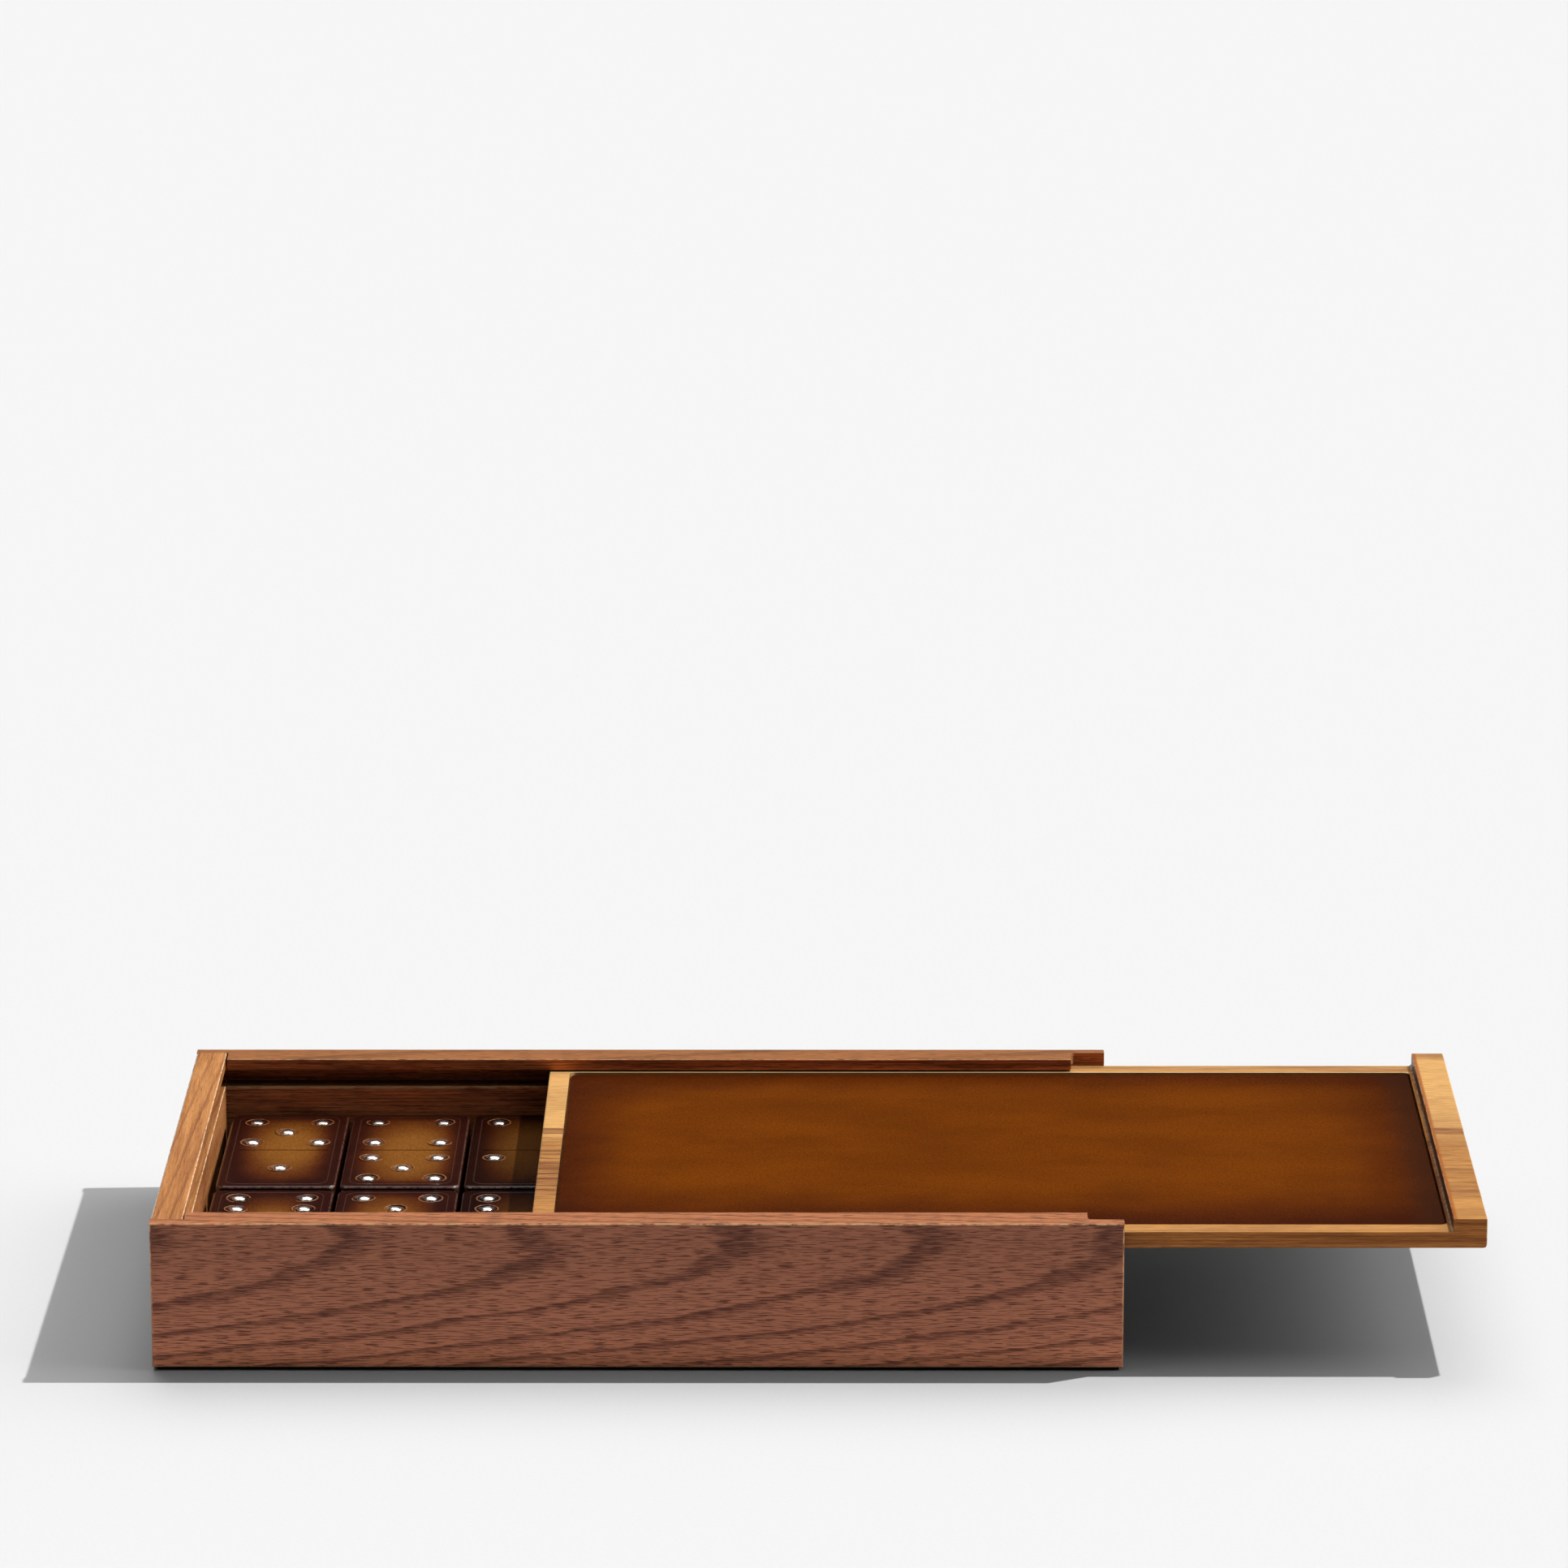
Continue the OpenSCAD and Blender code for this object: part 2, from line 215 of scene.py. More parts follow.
felt_and_contact_shade, tree, shader = finish("black_felt_and_contact_shade")
place = in_millimetres(tree)
nap = noise(tree, place, 2.2, 4)
feed(tree, shader, Roughness=0.9, Specular_IOR_Level=0.2, Normal=bumped(tree, nap, 0.05),
     Base_Color=mixed(tree, nap, (0.008, 0.007, 0.006, 1), (0.022, 0.019, 0.017, 1)))
dress(felt_and_contact_shade, "base_sheet")


# The front and back walls. Two walnut boards sawn from the flat of the log, grooved for the
# lid and rebated at their ends, sanded and oiled. Dark bands of late wood sweep across them.
def group(name, inputs, outputs):
    """A new shader group: its tree, its input sockets, and a call that sets its outputs."""
    made = bpy.data.node_groups.new(name, "ShaderNodeTree")
    kinds = {float: "NodeSocketFloat", tuple: "NodeSocketColor", Vector: "NodeSocketVector"}
    for label, value in inputs.items():
        socket = made.interface.new_socket(label, in_out="INPUT", socket_type=kinds[type(value)])
        socket.default_value = value
    for label, kind in outputs.items():
        made.interface.new_socket(label, in_out="OUTPUT", socket_type=kinds[kind])
    return made, node(made, "NodeGroupInput").outputs, lambda results: node(made, "NodeGroupOutput", results)


def use(tree, made, inputs):
    """Places a group in a material."""
    placed = tree.nodes.new("ShaderNodeGroup")
    placed.node_tree = made
    for key, value in inputs.items():
        if isinstance(value, bpy.types.NodeSocket):
            tree.links.new(value, placed.inputs[key])
        else:
            placed.inputs[key].default_value = value
    return placed.outputs


# the grain of a board: X runs along it, Y across its face and Z through it, in millimetres
wood_grain, given, give = group("wood_grain", {
    "Place": Vector((0, 0, 0)), "Light": (0.3, 0.1, 0.05, 1.0), "Dark": (0.1, 0.04, 0.02, 1.0),
    "Pore": (0.05, 0.02, 0.01, 1.0), "Band Gap": 39.3, "Band Start": 0.0, "Sweep": 0.19, "Crown": 3.7,
    "Ring Slope": 14.0, "Waver": 7.0, "Band Depth": 0.62, "Pore Depth": 0.80,
}, {"Color": tuple, "Bands": float, "Pores": float, "Height": float, "Roughness": float})
g = wood_grain
axes = node(g, "ShaderNodeSeparateXYZ", {0: given["Place"]}).outputs
sway = noise(g, given["Place"], 1, 3, 0.55, (55, 9, 7))
ripple = noise(g, given["Place"], 1, 3, 0.6, (12, 1.1, 1.1))
below = calc(g, "SUBTRACT", axes["Y"], given["Crown"])
along = calc(g, "MULTIPLY_ADD", calc(g, "MULTIPLY", below, below), given["Sweep"], axes["X"])
along = calc(g, "MULTIPLY_ADD", axes["Z"], given["Ring Slope"], along)
along = calc(g, "MULTIPLY_ADD", calc(g, "SUBTRACT", sway, 0.5), calc(g, "MULTIPLY", given["Waver"], 4), along)
along = calc(g, "MULTIPLY_ADD", calc(g, "SUBTRACT", ripple, 0.5), given["Waver"], along)
turns = calc(g, "ADD", calc(g, "DIVIDE", along, given["Band Gap"]), given["Band Start"])
part = calc(g, "FRACT", turns)
band = calc(g, "MULTIPLY", fade(g, part, 0.35, 0.44), fade(g, part, 0.44, 0.74, 1, 0))
cloud = noise(g, given["Place"], 1, 2, 0.5, (34, 6, 5))
fibre = noise(g, given["Place"], 1, 3, 0.6, (11, 0.30, 0.30))
speck = noise(g, given["Place"], 1, 1.5, 0.45, (4.2, 0.18, 0.18))
lower = calc(g, "MULTIPLY_ADD", band, -0.07, 0.55)
pores = fade(g, speck, lower, calc(g, "ADD", lower, 0.06))
shade = calc(g, "MULTIPLY_ADD", calc(g, "SUBTRACT", cloud, 0.5), 0.9, calc(g, "MULTIPLY", band, given["Band Depth"]))
shade = calc(g, "MULTIPLY_ADD", calc(g, "SUBTRACT", fibre, 0.5), 0.8, shade, clamp=True)
colour = mixed(g, shade, given["Light"], given["Dark"])
colour = mixed(g, calc(g, "MULTIPLY", pores, given["Pore Depth"]), colour, given["Pore"])
tall = calc(g, "SUBTRACT", calc(g, "MULTIPLY", fibre, 0.35), pores)
rough = calc(g, "MULTIPLY_ADD", pores, 0.2, calc(g, "MULTIPLY_ADD", fibre, 0.12, 0.26))
give({"Color": colour, "Bands": band, "Pores": pores, "Height": tall, "Roughness": rough})

# wear, and painted glints, on eased edges: how far a face leans away from all three axes, broken into patches
edge_wear_and_glint, given, give = group("edge_wear_and_glint", {
    "Place": Vector((0, 0, 0)), "Normal": Vector((0, 0, 1)), "Patch": 1.5, "Amount": 0.7},
                                {"Wear": float, "Edge": float})
g = edge_wear_and_glint
lean = node(g, "ShaderNodeVectorMath", {0: given["Normal"]}, operation="ABSOLUTE").outputs[0]
lean = node(g, "ShaderNodeSeparateXYZ", {0: lean}).outputs
flat = calc(g, "MAXIMUM", calc(g, "MAXIMUM", lean["X"], lean["Y"]), lean["Z"])
size = calc(g, "DIVIDE", 1.0, given["Patch"])
patch = node(g, "ShaderNodeTexNoise", {"Vector": given["Place"], "Scale": size, "Detail": 3}).outputs["Fac"]
edge = fade(g, flat, 0.97, 0.80)
bare_and_glint = calc(g, "MULTIPLY", edge, fade(g, patch, 0.32, 0.62))
give({"Wear": calc(g, "MULTIPLY", bare_and_glint, given["Amount"]), "Edge": edge})

# dust: a few tiny pale specks
dust, given, give = group("dust", {"Place": Vector((0, 0, 0)), "Spacing": 4.0, "Size": 0.09}, {"Dust": float})
g = dust
cells = node(g, "ShaderNodeTexVoronoi", {
    "Vector": given["Place"], "Scale": calc(g, "DIVIDE", 1.0, given["Spacing"])}).outputs
chance = node(g, "ShaderNodeSeparateXYZ", {0: cells["Color"]}).outputs["X"]
near = calc(g, "MULTIPLY", cells["Distance"], given["Spacing"])
small = calc(g, "MULTIPLY", given["Size"], calc(g, "MULTIPLY", chance, chance))
give({"Dust": calc(g, "LESS_THAN", near, small)})


def boarded(name, turn, start, colours, grain, wear_and_glint, wear=0.6, top=None, marks=None):
    """Oiled wood. turn and start bring the piece's X, Y and Z, in millimetres, to the board's length, face
    and thickness. colours are its light, dark and pore colours, top multiplies them on upper faces as painted
    light and shade, and marks adds what only this board has."""
    made, tree, shader = finish(name)
    place = in_millimetres(tree)
    laid = node(tree, "ShaderNodeMapping", {
        "Vector": place, "Rotation": [math.radians(t) for t in turn], "Location": start}).outputs[0]
    light, dark, pore = ((*c, 1) for c in colours)
    grown = use(tree, wood_grain, {"Place": laid, "Light": light, "Dark": dark, "Pore": pore, **grain})
    facing = node(tree, "ShaderNodeTexCoord").outputs["Normal"]
    bare_and_glint = use(tree, edge_wear_and_glint, {"Place": place, "Normal": facing, "Amount": wear})["Wear"]
    colour = grown["Color"]
    # painted light and shade: upper faces are multiplied by top, for how the light falls on them
    if top:
        up = fade(tree, node(tree, "ShaderNodeSeparateXYZ", {0: facing}).outputs["Z"], 0.3, 0.8)
        colour = mixed(tree, up, colour, mixed(tree, 1.0, colour, (*top, 1), "MULTIPLY"))
    if marks:
        colour = marks(tree, place, facing, colour)
    # what the front, the ends and the underside throw on the table is plain grey, as the shadow is
    turned = node(tree, "ShaderNodeSeparateXYZ", {0: facing}).outputs
    away = calc(tree, "MAXIMUM", calc(tree, "ABSOLUTE", turned["X"]), calc(tree, "MULTIPLY", turned["Z"], -1.0))
    away = calc(tree, "MAXIMUM", away, calc(tree, "MULTIPLY", turned["Y"], -1.0))
    unseen = calc(tree, "MULTIPLY", fade(tree, away, 0.5, 0.8), node(tree, "ShaderNodeLightPath").outputs["Is Diffuse Ray"])
    colour = mixed(tree, unseen, colour, (0.07, 0.07, 0.07, 1))
    # eased edges are paler: wear, and glints painted on the arrises
    colour = mixed(tree, bare_and_glint, colour, (*wear_and_glint, 1))
    colour = mixed(tree, use(tree, dust, {"Place": place})["Dust"], colour, (0.7, 0.65, 0.6, 1))
    feed(tree, shader, Base_Color=colour, Roughness=calc(tree, "MULTIPLY_ADD", bare_and_glint, -0.15, grown["Roughness"]),
         Specular_IOR_Level=calc(tree, "MULTIPLY_ADD", bare_and_glint, 0.5, 0.15),
         Normal=bumped(tree, grown["Height"], 0.04))
    return made


low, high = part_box("front_wall")
WALNUT = ((0.530, 0.190, 0.104), (0.220, 0.072, 0.043), (0.100, 0.030, 0.021))
# the pale colour of worn arrises: wear, and painted glints
WALNUT_WEAR_AND_GLINT = (0.76, 0.44, 0.19)
left, front, rim = low.x * 1000, low.y * 1000, high.z * 1000


def painted_light_towards_foot(tree, place, facing, colour):
    """Painted light and shade: the front board is darkened a little below its top and made paler towards its lower
    edge, where less light reaches it.
    """
    height = node(tree, "ShaderNodeSeparateXYZ", {0: place}).outputs["Z"]
    tone = mixed(tree, fade(tree, height, rim - 2, 0), (0.84, 0.84, 0.84, 1), (1.36, 1.36, 1.36, 1))
    colour = mixed(tree, 1.0, colour, tone, "MULTIPLY")
    tone = mixed(tree, fade(tree, height, 10, 1), (1, 1, 1, 1), (1.50, 1.50, 1.44, 1))
    return mixed(tree, 1.0, colour, tone, "MULTIPLY")


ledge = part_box("lid_board")[0].z * 1000


def fine_lines(tree, place, facing, colour):
    """Inside, the back board shows long fine lines, and a painted highlight lies along the edge of the ledge that the
    lid slides on.
    """
    inner = fade(tree, node(tree, "ShaderNodeSeparateXYZ", {0: facing}).outputs["Y"], -0.5, -0.9)
    lines = fade(tree, noise(tree, place, 1, 3, 0.65, (34, 1.0, 0.30)), 0.32, 0.68)
    tone = mixed(tree, lines, (0.95, 0.85, 0.55, 1), (2.15, 1.95, 1.25, 1))
    colour = mixed(tree, 1.0, colour, mixed(tree, inner, (1, 1, 1, 1), tone), "MULTIPLY")
    # painted highlight: a bright line just below the ledge's edge, where it catches the light
    off = calc(tree, "ABSOLUTE", calc(tree, "SUBTRACT", node(tree, "ShaderNodeSeparateXYZ", {0: place}).outputs["Z"], ledge - 0.25))
    bright_edge = calc(tree, "MULTIPLY", fade(tree, off, 0.25, 0.50, 0.95, 0), fade(tree, noise(tree, place, 1, 3, 0.6, (6, 1, 1)), 0.30, 0.60))
    return mixed(tree, calc(tree, "MULTIPLY", bright_edge, inner), colour, (0.95, 0.60, 0.34, 1))


# top paints light and shade on the upper faces of the two boards
front_board = boarded("walnut_front", (90, 0, 0), (-left, rim, -front), WALNUT,
                      {"Band Start": 0.50}, WALNUT_WEAR_AND_GLINT, wear=0.85, top=(1.13, 1.14, 0.84),
                      marks=painted_light_towards_foot)
back_board = boarded("walnut_back", (-90, 0, 0), (-left + 57, 0.0, -front), WALNUT,
                     {"Band Start": 0.3, "Pore Depth": 0.5, "Sweep": 0.12, "Band Gap": 66.0, "Band Depth": 0.40,
                      "Ring Slope": 5.0}, WALNUT_WEAR_AND_GLINT, wear=0.85, top=(0.71, 0.75, 0.43), marks=fine_lines)
dress(front_board, "front_wall")
dress(back_board, "back_wall")


# The end walls. Shorter walnut boards between the long ones, their grain across the box. The
# left one is full height and grooved like the walls, the right one stops below the lid.
END = ((0.475, 0.190, 0.068), (0.245, 0.077, 0.026), (0.18, 0.057, 0.019))


def golden_streaks(tree, place, facing, colour):
    """The end boards show golden and brown streaks along their length."""
    lines = fade(tree, noise(tree, place, 1, 4, 0.65, (1.3, 34, 3.0)), 0.35, 0.65)
    tone = mixed(tree, lines, (0.78, 0.70, 0.60, 1), (1.20, 1.24, 1.14, 1))
    return mixed(tree, 1.0, colour, tone, "MULTIPLY")


# the end boards' pale edge colour is wear and painted glints along the lip's arris, and top paints light on their upper
# faces
end_board = boarded("walnut_end", (90, 90, 0), (17, rim, left + 130), END,
                    {"Ring Slope": 21.0, "Band Gap": 60.0, "Sweep": 0.05, "Band Depth": 0.55, "Pore Depth": 0.25},
                    (0.95, 0.74, 0.50), wear=1.0, top=(1.12, 1.20, 1.20), marks=golden_streaks)
dress(end_board, "closed_end_wall", "low_end_wall")


# The base panel. A thin walnut board in a rebate under the four walls, seen only between the
# dominoes.
base_board = boarded("walnut_base", (0, 0, 0), (40, 12, 3), WALNUT, {"Ring Slope": 25.0}, WALNUT_WEAR_AND_GLINT)
dress(base_board, "base_panel")


# The dominoes. Blocks of firm leather with rounded corners, dyed nearly black at the edges and
# rubbed back to gold in the middle, polished, with a line creased round each face.
first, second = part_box("tile_top_back_1"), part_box("tile_top_back_2")
pitch = (second[0].x - first[0].x) * 1000
half_w = (first[1].x - first[0].x) * 500
half_l = (first[1].y - first[0].y) * 500
row_y = (first[1].y + first[0].y) * 500
cell_x = (first[1].x + first[0].x) * 500 - pitch / 2
between = (first[0].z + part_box("tile_low_back_1")[1].z) * 500

# rubbed leather: Depth is 0 at its rim and 1 at its heart
leather_skin, given, give = group("leather_skin", {
    "Place": Vector((0, 0, 0)), "Depth": 0.5, "Heart": (0.2, 0.07, 0.01, 1.0), "Middle": (0.1, 0.03, 0.01, 1.0),
    "Rim": (0.03, 0.01, 0.01, 1.0), "Mottle": 0.2, "Grain": 0.45,
}, {"Color": tuple, "Height": float, "Roughness": float})
g = leather_skin
drift = noise(g, given["Place"], 0.16, 3)
deep = calc(g, "MULTIPLY_ADD", calc(g, "SUBTRACT", drift, 0.5), given["Mottle"], given["Depth"])
colour = mixed(g, fade(g, deep, -0.05, 0.42), given["Rim"], given["Middle"])
colour = mixed(g, fade(g, deep, 0.25, 1.0), colour, given["Heart"])
soft = noise(g, given["Place"], 1.6, 4, 0.7)
brushed = fade(g, noise(g, given["Place"], 1, 2, 0.6, (0.18, 0.8, 0.5)), 0.3, 0.7)
colour = mixed(g, 1.0, colour, mixed(g, brushed, (0.84, 0.84, 0.84, 1), (1.16, 1.16, 1.16, 1)), "MULTIPLY")
colour = mixed(g, fade(g, soft, 0.30, 0.70, 0.0, 0.26), colour, (0.0, 0.0, 0.0, 1))
pits = node(g, "ShaderNodeTexVoronoi", {
    "Vector": given["Place"], "Scale": calc(g, "DIVIDE", 1.0, given["Grain"]), "Randomness": 1.0}).outputs["Distance"]
hide = calc(g, "MULTIPLY_ADD", noise(g, given["Place"], 3.0, 3), 0.6, calc(g, "MULTIPLY", pits, 0.4))
give({"Color": colour, "Height": hide, "Roughness": calc(g, "MULTIPLY_ADD", soft, 0.08, 0.16)})

tile_leather, tree, shader = finish("domino_leather")
place = in_millimetres(tree)
axes = node(tree, "ShaderNodeSeparateXYZ", {0: place}).outputs
column = calc(tree, "DIVIDE", calc(tree, "SUBTRACT", axes["X"], cell_x), pitch)
u = calc(tree, "MULTIPLY", calc(tree, "SUBTRACT", calc(tree, "FRACT", column), 0.5), pitch)
side = calc(tree, "SIGN", axes["Y"])
v = calc(tree, "MULTIPLY_ADD", side, -row_y, axes["Y"])
layer = calc(tree, "GREATER_THAN", axes["Z"], between)
which = node(tree, "ShaderNodeCombineXYZ", {0: calc(tree, "FLOOR", column), 1: side, 2: layer}).outputs[0]
own = node(tree, "ShaderNodeSeparateXYZ", {0: node(tree, "ShaderNodeTexWhiteNoise", {"Vector": which}).outputs["Color"]}).outputs
bend = 4.5
qu = calc(tree, "SUBTRACT", calc(tree, "ABSOLUTE", u), half_w - bend)
qv = calc(tree, "SUBTRACT", calc(tree, "ABSOLUTE", v), half_l - bend)
out_u, out_v = calc(tree, "MAXIMUM", qu, 0.0), calc(tree, "MAXIMUM", qv, 0.0)
corner = calc(tree, "SQRT", calc(tree, "ADD", calc(tree, "MULTIPLY", out_u, out_u), calc(tree, "MULTIPLY", out_v, out_v)))
inward = calc(tree, "SUBTRACT", bend, calc(tree, "ADD", corner, calc(tree, "MINIMUM", calc(tree, "MAXIMUM", qu, qv), 0.0)))
oval_u = calc(tree, "DIVIDE", calc(tree, "ADD", u, calc(tree, "MULTIPLY_ADD", own["X"], 3.0, -1.5)), half_w)
oval_v = calc(tree, "DIVIDE", calc(tree, "ADD", v, calc(tree, "MULTIPLY_ADD", own["Y"], 5.0, -2.5)), half_l * 1.15)
oval = calc(tree, "SQRT", calc(tree, "ADD", calc(tree, "MULTIPLY", oval_u, oval_u), calc(tree, "MULTIPLY", oval_v, oval_v)))
depth = calc(tree, "MULTIPLY", fade(tree, inward, 0.2, calc(tree, "MULTIPLY_ADD", own["Z"], -2.5, 8.0)),
             fade(tree, oval, calc(tree, "MULTIPLY_ADD", own["Z"], 0.35, 1.0), 0.05))
skin = use(tree, leather_skin, {
    "Place": place, "Depth": depth, "Heart": (0.255, 0.092, 0.0155, 1), "Middle": (0.102, 0.024, 0.0050, 1),
    "Rim": (0.026, 0.0048, 0.0034, 1)})
crease = calc(tree, "MULTIPLY", fade(tree, inward, 1.75, 1.95), fade(tree, inward, 1.95, 2.15, 1, 0))
facing = node(tree, "ShaderNodeTexCoord").outputs["Normal"]
bright_edge = use(tree, edge_wear_and_glint, {"Place": place, "Normal": facing, "Patch": 0.8, "Amount": 0.40})
wear_and_glint = bright_edge["Wear"]
# painted shade: the third dominoes of the top layer, beside the lid, are darkened as by the lid's soft shadow
third = calc(tree, "MULTIPLY", calc(tree, "COMPARE", calc(tree, "FLOOR", column), 2.0, 0.1), layer)
colour = mixed(tree, third, skin["Color"], mixed(tree, 1.0, skin["Color"], (0.52, 0.52, 0.48, 1), "MULTIPLY"))
colour = mixed(tree, calc(tree, "MULTIPLY", crease, 0.12), colour, (0.30, 0.16, 0.09, 1))
# paler edges: wear, and glints painted on the arrises
colour = mixed(tree, wear_and_glint, colour, (0.26, 0.13, 0.085, 1))
colour = mixed(tree, use(tree, dust, {"Place": place, "Spacing": 2.5, "Size": 0.08})["Dust"], colour, (0.6, 0.55, 0.5, 1))
tall = calc(tree, "MULTIPLY_ADD", crease, -0.8, skin["Height"])
feed(tree, shader, Base_Color=colour, Roughness=skin["Roughness"],
     Specular_IOR_Level=calc(tree, "MULTIPLY_ADD", bright_edge["Edge"], 0.9, 0.06), Normal=bumped(tree, tall, 0.03))
tiles = [n for n in frame["nodes"] if n.startswith("tile_")]
dress(tile_leather, *tiles)


# The pips. Small round-headed nickel pins, pressed into the leather in the pattern of each
# domino's numbers. The leather round each pin is pushed up into a thin worn ring.
def counts_of_the_set():
    """The pips on each domino, on its back and its front half, as the set lies in the box."""
    back, front = [(5, 1), (4, 5), (2, 2)], [(6, 3), (5, 3), (6, 6)]
    laid_out = {frozenset(c) for c in back + front}
    rest = iter([(a, b) for a in range(7) for b in range(a, 7) if frozenset((a, b)) not in laid_out])
    found = {}
    for layer in ("top", "low"):
        for row, shown in (("back", back), ("front", front)):
            for i in range(7):
                known = layer == "top" and i < 3
                found[f"tile_{layer}_{row}_{i + 1}"] = shown[i] if known else next(rest)
    return found


PIP_STEP, HALF_STEP = 0.007, 0.01225


def pip_points(tile, counts):
    """Where the pips of one domino stand on its upper face."""
    low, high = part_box(tile)
    middle = Vector(((low.x + high.x) / 2, (low.y + high.y) / 2, high.z))
    points = []
    for count, way in zip(counts, (1, -1)):
        steps = [(0, 0)] * (count % 2)
        steps += [(-1, 1), (1, -1)] * (count >= 2)
        steps += [(1, 1), (-1, -1)] * (count >= 4)
        steps += [(-1, 0), (1, 0)] * (count == 6)
        points += [middle + Vector((x * PIP_STEP, y * PIP_STEP + way * HALF_STEP, 0)) for x, y in steps]
    return points


def turned_on_points(name, sizes, sides, rows, radius_of, height_of):
    """A Geometry Nodes tree that stands one small turned shape on every point it is given."""
    made = bpy.data.node_groups.new(name, "GeometryNodeTree")
    made.interface.new_socket("Geometry", in_out="INPUT", socket_type="NodeSocketGeometry")
    for label, value in sizes.items():
        socket = made.interface.new_socket(label, in_out="INPUT", socket_type="NodeSocketFloat")
        socket.default_value = value
    made.interface.new_socket("Seed", in_out="INPUT", socket_type="NodeSocketInt")
    made.interface.new_socket("Finish", in_out="INPUT", socket_type="NodeSocketMaterial")
    made.interface.new_socket("Geometry", in_out="OUTPUT", socket_type="NodeSocketGeometry")
    given = node(made, "NodeGroupInput").outputs
    grid = node(made, "GeometryNodeMeshGrid", {
        "Size X": 1.0, "Size Y": 1.0, "Vertices X": sides + 1, "Vertices Y": rows})
    across = node(made, "ShaderNodeSeparateXYZ", {0: node(made, "GeometryNodeInputPosition").outputs[0]}).outputs
    angle = calc(made, "MULTIPLY", calc(made, "ADD", across["X"], 0.5), -2 * math.pi)
    share = calc(made, "ADD", across["Y"], 0.5)
    radius, height = radius_of(made, given, share), height_of(made, given, share)
    ring = node(made, "ShaderNodeCombineXYZ", {
        0: calc(made, "MULTIPLY", radius, calc(made, "COSINE", angle)),
        1: calc(made, "MULTIPLY", radius, calc(made, "SINE", angle)), 2: height}).outputs[0]
    shape = node(made, "GeometryNodeSetPosition", {"Geometry": grid.outputs["Mesh"], "Position": ring}).outputs[0]
    shape = node(made, "GeometryNodeMergeByDistance", {"Geometry": shape, "Distance": 1e-6}).outputs[0]
    shape = node(made, "GeometryNodeSetShadeSmooth", {"Geometry": shape}).outputs[0]
    tilt = node(made, "FunctionNodeRandomValue", {
        0: (-0.05, -0.05, 0.0), 1: (0.05, 0.05, 6.28), "Seed": given["Seed"]}, data_type="FLOAT_VECTOR").outputs[0]
    grow = node(made, "FunctionNodeRandomValue", {2: 0.96, 3: 1.0, "Seed": given["Seed"]}, data_type="FLOAT").outputs[1]
    stood = node(made, "GeometryNodeInstanceOnPoints", {
        "Points": given["Geometry"], "Instance": shape, "Rotation": tilt, "Scale": grow}).outputs[0]
    real = node(made, "GeometryNodeRealizeInstances", {"Geometry": stood}).outputs[0]
    done = node(made, "GeometryNodeSetMaterial", {"Geometry": real, "Material": given["Finish"]}).outputs[0]
    node(made, "NodeGroupOutput", {0: done})
    return made


def grown(name, tree, points, finish, seed):
    """The tree's result on these points, as a plain mesh."""
    base = bpy.data.meshes.new(name)
    base.from_pydata(points, [], [])
    piece = bpy.data.objects.new(name, base)
    scene.collection.objects.link(piece)
    worker = piece.modifiers.new("growth", "NODES")
    worker.node_group = tree
    for item in tree.interface.items_tree:
        if item.in_out == "INPUT" and item.name == "Seed":
            worker[item.identifier] = seed
        if item.in_out == "INPUT" and item.name == "Finish":
            worker[item.identifier] = finish
    plain = bpy.data.meshes.new_from_object(piece.evaluated_get(bpy.context.evaluated_depsgraph_get()))
    piece.modifiers.clear()
    piece.data = plain
    shell = bmesh.new()
    shell.from_mesh(plain)
    bmesh.ops.recalc_face_normals(shell, faces=shell.faces)
    shell.to_mesh(plain)
    shell.free()
    return piece


# share runs from the crown to the foot of the head at 5/7, down the shank and in to its centre
def pin_radius(tree, given, share):
    head = calc(tree, "MINIMUM", calc(tree, "MULTIPLY", share, 7 / 5), 1.0)
    full = calc(tree, "MULTIPLY", given["Radius"], calc(tree, "SINE", calc(tree, "MULTIPLY", head, math.pi / 2)))
    return calc(tree, "MULTIPLY", full, calc(tree, "LESS_THAN", share, 0.93))


def pin_height(tree, given, share):
    head = calc(tree, "MINIMUM", calc(tree, "MULTIPLY", share, 7 / 5), 1.0)
    dome = calc(tree, "MULTIPLY", given["Rise"], calc(tree, "COSINE", calc(tree, "MULTIPLY", head, math.pi / 2)))
    shank = calc(tree, "MULTIPLY", calc(tree, "GREATER_THAN", share, 0.78), calc(tree, "SUBTRACT", given["Length"], given["Sink"]))
    return calc(tree, "SUBTRACT", calc(tree, "SUBTRACT", dome, given["Sink"]), shank)


def ring_radius(tree, given, share):
    turn = calc(tree, "COSINE", calc(tree, "MULTIPLY", share, -2 * math.pi))
    return calc(tree, "MULTIPLY_ADD", turn, given["Thickness"], given["Radius"])


def ring_height(tree, given, share):
    turn = calc(tree, "SINE", calc(tree, "MULTIPLY", share, -2 * math.pi))
    return calc(tree, "MULTIPLY", turn, given["Rise"])


pin_tree = turned_on_points("pressed_pin", {
    "Radius": 0.00145, "Rise": 0.00055, "Sink": 0.00012, "Length": 0.0016}, 20, 8, pin_radius, pin_height)
ring_tree = turned_on_points("pushed_up_ring", {
    "Radius": 0.00250, "Thickness": 0.00022, "Rise": 0.00008}, 20, 6, ring_radius, ring_height)

nickel, tree, shader = finish("bright_nickel")
place = in_millimetres(tree)
scuff = noise(tree, place, 3.5, 4, 0.65)
feed(tree, shader, Metallic=1.0, Roughness=fade(tree, scuff, 0.3, 0.75, 0.12, 0.34), Normal=bumped(tree, scuff, 0.02),
     Base_Color=mixed(tree, scuff, (0.86, 0.84, 0.81, 1), (0.70, 0.67, 0.63, 1)))

